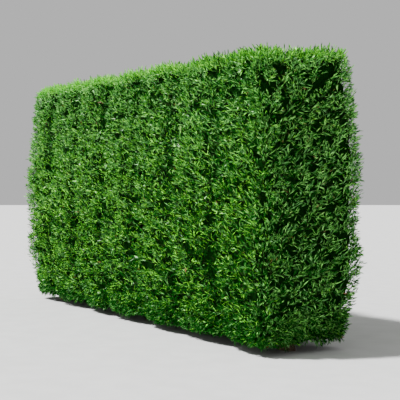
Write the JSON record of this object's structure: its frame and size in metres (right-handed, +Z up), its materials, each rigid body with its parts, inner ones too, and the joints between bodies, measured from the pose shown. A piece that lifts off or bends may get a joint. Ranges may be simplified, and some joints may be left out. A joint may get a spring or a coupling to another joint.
{
  "type": "clipped cypress hedge",
  "caption": "Long clipped hedge: a close row of cypresses grown into one rounded block of dense flat sprays, green to near the ground, with slim trunks standing inside.",
  "frame": {"origin": "ground level, in the middle of the flat cut under the middle tree's trunk", "axes": "+Z up, +X along the row towards its lower, nearer end, -Y out of the long face that the picture shows"},
  "size_m": [7.6956, 1.691, 4.0175],
  "materials": {
    "bark": "thin fibrous brown bark with long narrow furrows, matt",
    "foliage": "dense flat scale-leaf sprays, mid green over dark green, lime on the youngest tips, soft sheen"
  },
  "bodies": {
    "root": {"trunk_1": "bark", "crown_1": "foliage", "trunk_2": "bark", "crown_2": "foliage", "trunk_3": "bark", "crown_3": "foliage", "trunk_4": "bark", "crown_4": "foliage", "trunk_5": "bark", "crown_5": "foliage", "trunk_6": "bark", "crown_6": "foliage", "trunk_7": "bark", "crown_7": "foliage"}
  },
  "joints": []
}
